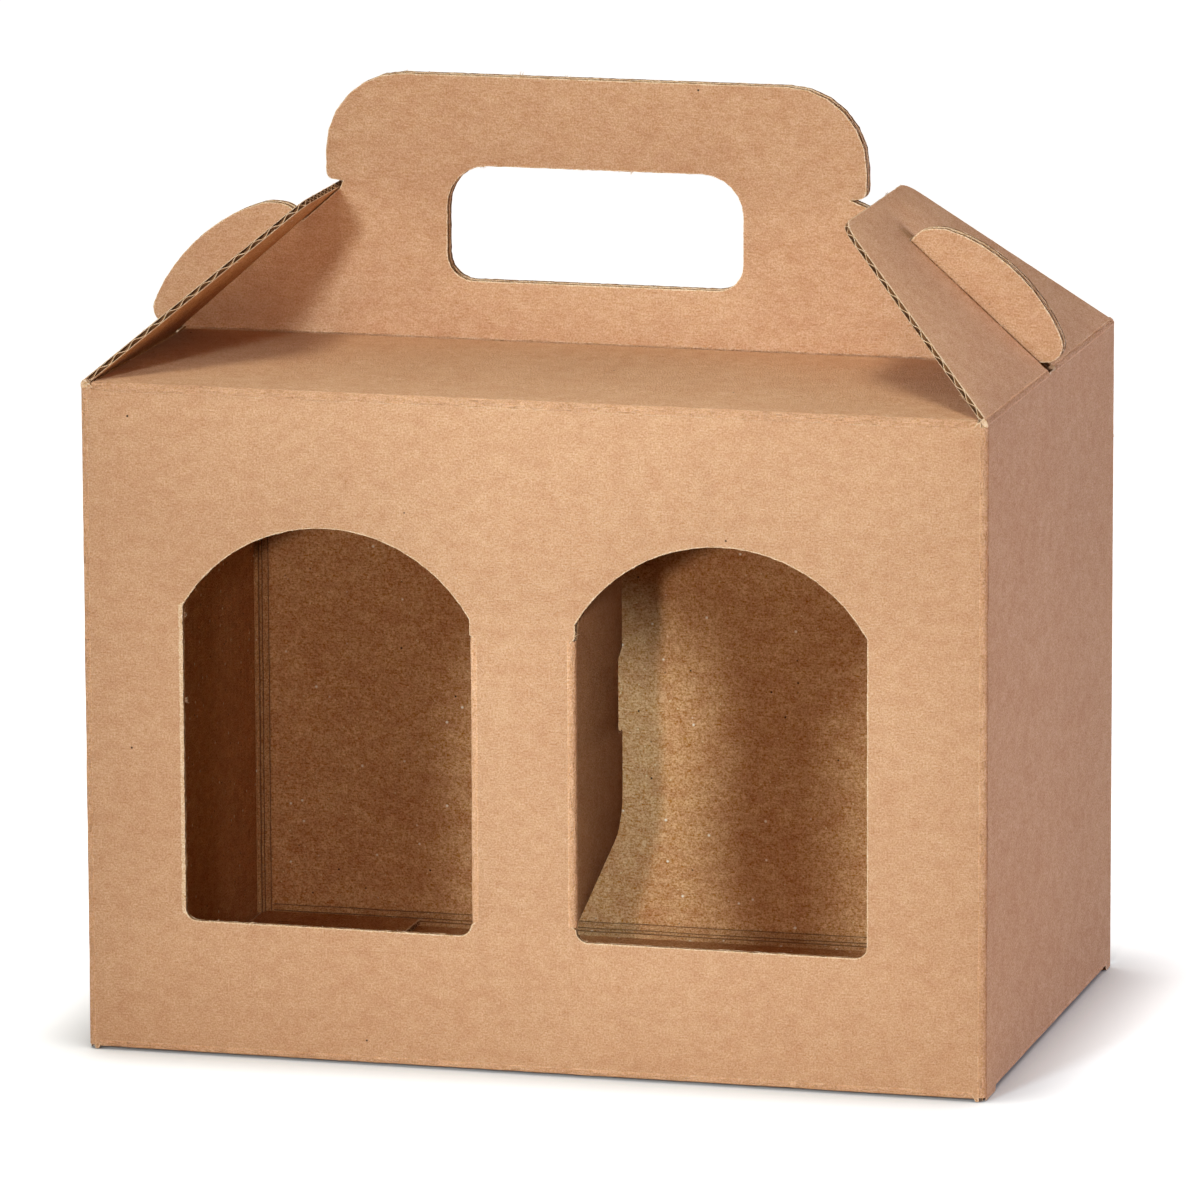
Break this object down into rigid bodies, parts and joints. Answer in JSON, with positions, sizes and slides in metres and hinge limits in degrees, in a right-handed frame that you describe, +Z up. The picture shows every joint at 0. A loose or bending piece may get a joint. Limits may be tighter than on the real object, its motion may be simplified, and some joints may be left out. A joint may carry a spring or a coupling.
{
  "type": "gift carry box",
  "caption": "Gable-handled carry box of folded kraft board: upright grip with a hand hole, two arched front windows, inward divider flaps, slotted lock flaps and a snap-lock base.",
  "frame": {"origin": "middle of the base on the surface that the box stands on", "axes": "+X along the box's width, the window side faces -Y, +Z up to the grip"},
  "size_m": [0.2462, 0.153, 0.2489],
  "materials": {
    "kraft_board": "matte",
    "kraft_board_inside": "matte"
  },
  "bodies": {
    "case": {"front_panel": "kraft_board", "back_panel": "kraft_board", "left_side_panel": "kraft_board", "right_side_panel": "kraft_board", "glue_flap": "kraft_board_inside", "front_base_panel": "kraft_board", "back_base_panel": "kraft_board", "left_base_hook": "kraft_board_inside", "right_base_hook": "kraft_board_inside"},
    "left_divider": {"left_divider_flap": "kraft_board"},
    "right_divider": {"right_divider_flap": "kraft_board"},
    "left_lock": {"left_lock_flap": "kraft_board"},
    "right_lock": {"right_lock_flap": "kraft_board"},
    "front_roof": {"front_roof_panel": "kraft_board"},
    "back_roof": {"back_roof_panel": "kraft_board"},
    "front_handle": {"front_handle_panel": "kraft_board"},
    "back_handle": {"back_handle_panel": "kraft_board"}
  },
  "joints": [
    {"name": "right_lock_flap_hinge", "type": "hinge", "parent": "case", "child": "right_lock", "pos_m": [0.12, 0, 0.177], "axis": [0, 1, 0], "range_deg": [0, 225]},
    {"name": "left_lock_flap_hinge", "type": "hinge", "parent": "case", "child": "left_lock", "pos_m": [-0.12, 0, 0.177], "axis": [0, -1, 0], "range_deg": [0, 225]},
    {"name": "front_roof_hinge", "type": "hinge", "parent": "case", "child": "front_roof", "pos_m": [0, -0.0765, 0.177], "axis": [1, 0, 0], "range_deg": [0, 38.25]},
    {"name": "back_roof_hinge", "type": "hinge", "parent": "case", "child": "back_roof", "pos_m": [0, 0.0765, 0.177], "axis": [-1, 0, 0], "range_deg": [0, 38.25]},
    {"name": "front_handle_hinge", "type": "hinge", "parent": "front_roof", "child": "front_handle", "pos_m": [0, -0.0006, 0.17724], "axis": [-1, 0, 0], "range_deg": [0, 38.25]},
    {"name": "back_handle_hinge", "type": "hinge", "parent": "back_roof", "child": "back_handle", "pos_m": [0, 0.0006, 0.17724], "axis": [1, 0, 0], "range_deg": [0, 38.25]},
    {"name": "right_divider_hinge", "type": "hinge", "parent": "case", "child": "right_divider", "pos_m": [0.0119, -0.0765, 0.0815], "axis": [0, 0, 1], "range_deg": [-90, 12]},
    {"name": "left_divider_hinge", "type": "hinge", "parent": "case", "child": "left_divider", "pos_m": [-0.0161, -0.0765, 0.0815], "axis": [0, 0, -1], "range_deg": [-90, 12]}
  ],
  "couplings": [
    {"joint": "left_lock_flap_hinge", "follows": "right_lock_flap_hinge", "ratio": 1},
    {"joint": "front_roof_hinge", "follows": "right_lock_flap_hinge", "ratio": 0.17},
    {"joint": "back_roof_hinge", "follows": "right_lock_flap_hinge", "ratio": 0.17},
    {"joint": "front_handle_hinge", "follows": "right_lock_flap_hinge", "ratio": 0.17},
    {"joint": "back_handle_hinge", "follows": "right_lock_flap_hinge", "ratio": 0.17}
  ]
}
